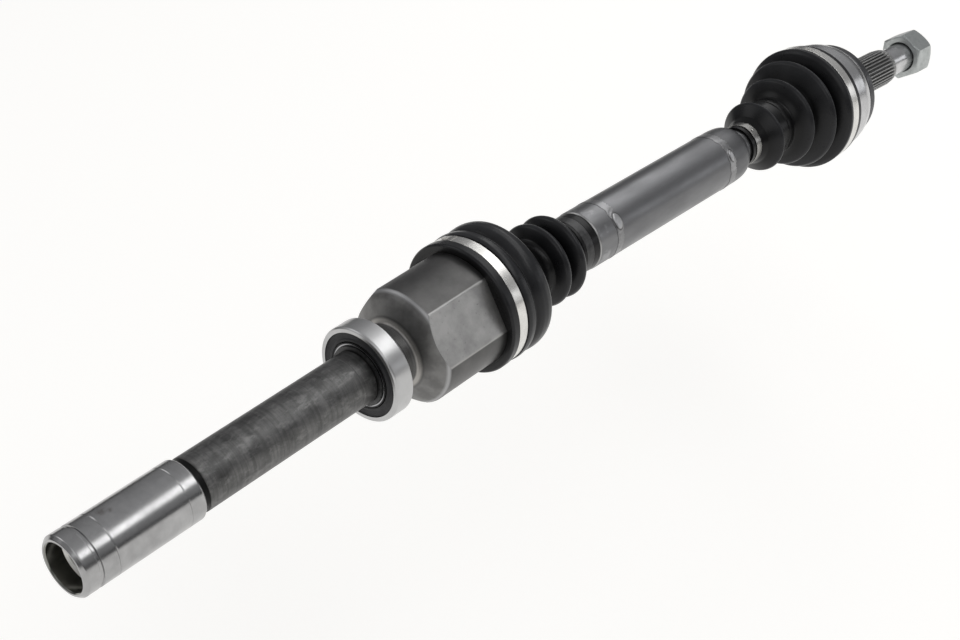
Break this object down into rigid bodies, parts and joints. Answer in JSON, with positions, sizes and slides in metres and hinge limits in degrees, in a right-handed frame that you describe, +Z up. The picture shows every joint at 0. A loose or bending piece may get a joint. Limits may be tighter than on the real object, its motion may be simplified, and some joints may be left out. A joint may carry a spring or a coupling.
{
  "type": "cv axle",
  "caption": "Car drive shaft with a gearbox sleeve, support bearing, sliding inboard joint, welded tube shaft, outer ball joint, rubber boots, splined hub end and nut.",
  "frame": {"origin": "under the middle of the whole shaft, on the surface that it lies on", "axes": "+X along the shaft from the gearbox end to the hub end, +Z up, +Y to the left of the hub end"},
  "size_m": [0.8578, 0.0908, 0.0907],
  "materials": {
    "ground_steel": "ground and turned bearing steel",
    "forged_steel": "satin grey forging, turned in places",
    "tube_steel": "satin drawn tube with weld beads",
    "ball_steel": "polished hardened steel",
    "spring_steel": "blackened spring steel",
    "plated_steel": "satin zinc plating",
    "clamp_steel": "bright stainless band",
    "boot_rubber": "satin black moulded rubber",
    "seal_rubber": "matt black moulded seal",
    "cage_plastic": "moulded nylon"
  },
  "bodies": {
    "tulip": {"gearbox_sleeve": "ground_steel", "bore_plug": "plated_steel", "bar_and_tulip": "forged_steel", "bearing_inner_ring": "ground_steel", "bearing_circlip": "spring_steel", "flat_filler_bush": "boot_rubber", "inboard_large_clamp": "clamp_steel"},
    "bearing_ring": {"bearing_outer_ring": "ground_steel", "bearing_seal_front": "seal_rubber", "bearing_seal_rear": "seal_rubber"},
    "bearing_balls": {"bearing_ball_cage": "cage_plastic", "bearing_ball_1": "ball_steel", "bearing_ball_2": "ball_steel", "bearing_ball_3": "ball_steel", "bearing_ball_4": "ball_steel", "bearing_ball_5": "ball_steel", "bearing_ball_6": "ball_steel", "bearing_ball_7": "ball_steel", "bearing_ball_8": "ball_steel", "bearing_ball_9": "ball_steel", "bearing_ball_10": "ball_steel", "bearing_ball_11": "ball_steel"},
    "plunging_boot": {"inboard_boot": "boot_rubber"},
    "roller_race_1": {"tripod_roller_race_1": "ball_steel"},
    "roller_race_2": {"tripod_roller_race_2": "ball_steel"},
    "roller_race_3": {"tripod_roller_race_3": "ball_steel"},
    "roller_1": {"tripod_roller_1": "ball_steel"},
    "roller_2": {"tripod_roller_2": "ball_steel"},
    "roller_3": {"tripod_roller_3": "ball_steel"},
    "shaft": {"tripod_spider": "forged_steel", "spider_circlip": "spring_steel", "inboard_bar": "tube_steel", "shaft_tube": "tube_steel", "outboard_bar": "tube_steel", "inboard_small_clamp": "spring_steel", "outer_small_clamp": "clamp_steel", "inner_race": "ball_steel", "race_circlip": "spring_steel"},
    "cage_and_boot": {"ball_cage": "ball_steel", "joint_ball_1": "ball_steel", "joint_ball_2": "ball_steel", "joint_ball_3": "ball_steel", "joint_ball_4": "ball_steel", "joint_ball_5": "ball_steel", "joint_ball_6": "ball_steel", "outer_boot": "boot_rubber"},
    "bell": {"bell_and_spline": "ground_steel", "dust_ring": "seal_rubber", "outer_large_clamp": "clamp_steel"},
    "nut": {"hub_nut": "plated_steel"}
  },
  "joints": [
    {"name": "bearing_spin", "type": "hinge", "parent": "tulip", "child": "bearing_ring", "pos_m": [-0.2053, 0, 0.03924], "axis": [0.9986, 0, 0.052], "continuous": true},
    {"name": "bearing_cage_spin", "type": "hinge", "parent": "tulip", "child": "bearing_balls", "pos_m": [-0.2053, 0, 0.03924], "axis": [0.9986, 0, 0.052], "continuous": true},
    {"name": "inboard_plunge", "type": "slide", "parent": "tulip", "child": "plunging_boot", "axis": [0.9986, 0, 0.052], "range_m": [-0.007, 0.012], "deforming": ["inboard_boot"]},
    {"name": "inboard_tilt", "type": "hinge", "parent": "plunging_boot", "child": "shaft", "pos_m": [-0.14539, 0, 0.04236], "axis": [0, 1, 0], "range_deg": [-20, 15], "deforming": ["inboard_boot"]},
    {"name": "race_1_travel", "type": "slide", "parent": "plunging_boot", "child": "roller_race_1", "axis": [0.9986, 0, 0.052], "range_m": [-0.008, 0.006]},
    {"name": "race_2_travel", "type": "slide", "parent": "plunging_boot", "child": "roller_race_2", "axis": [0.9986, 0, 0.052], "range_m": [-0.003, 0.004]},
    {"name": "race_3_travel", "type": "slide", "parent": "plunging_boot", "child": "roller_race_3", "axis": [0.9986, 0, 0.052], "range_m": [-0.003, 0.004]},
    {"name": "roller_1_roll", "type": "hinge", "parent": "roller_race_1", "child": "roller_1", "pos_m": [-0.14549, 0, 0.06438], "axis": [-0.052, 0, 0.9986], "range_deg": [-40, 50]},
    {"name": "roller_2_roll", "type": "hinge", "parent": "roller_race_2", "child": "roller_2", "pos_m": [-0.14534, 0.01905, 0.03135], "axis": [0.026, 0.866, -0.4993], "range_deg": [-40, 50]},
    {"name": "roller_3_roll", "type": "hinge", "parent": "roller_race_3", "child": "roller_3", "pos_m": [-0.14534, -0.01905, 0.03135], "axis": [0.026, -0.866, -0.4993], "range_deg": [-40, 50]},
    {"name": "outer_bend_inner_half", "type": "hinge", "parent": "shaft", "child": "cage_and_boot", "pos_m": [0.28061, 0, 0.04429], "axis": [0, 0, 1], "range_deg": [-20, 20], "deforming": ["outer_boot"]},
    {"name": "outer_bend_outer_half", "type": "hinge", "parent": "cage_and_boot", "child": "bell", "pos_m": [0.28061, 0, 0.04429], "axis": [0, 0, 1], "range_deg": [-20, 20], "deforming": ["outer_boot"]},
    {"name": "hub_nut_turn", "type": "hinge", "parent": "bell", "child": "nut", "pos_m": [0.405, 0, 0.03877], "axis": [0.999, 0, -0.0443], "continuous": true}
  ],
  "couplings": [
    {"joint": "bearing_cage_spin", "follows": "bearing_spin", "ratio": 0.58041},
    {"joint": "race_1_travel", "follows": "inboard_tilt", "m_per_rad": 0.022},
    {"joint": "race_2_travel", "follows": "inboard_tilt", "m_per_rad": -0.011},
    {"joint": "race_3_travel", "follows": "inboard_tilt", "m_per_rad": -0.011},
    {"joint": "roller_1_roll", "follows": "inboard_plunge", "rad_per_m": 64.5},
    {"joint": "roller_2_roll", "follows": "inboard_plunge", "rad_per_m": 64.5},
    {"joint": "roller_3_roll", "follows": "inboard_plunge", "rad_per_m": 64.5},
    {"joint": "outer_bend_outer_half", "follows": "outer_bend_inner_half", "ratio": 1}
  ]
}
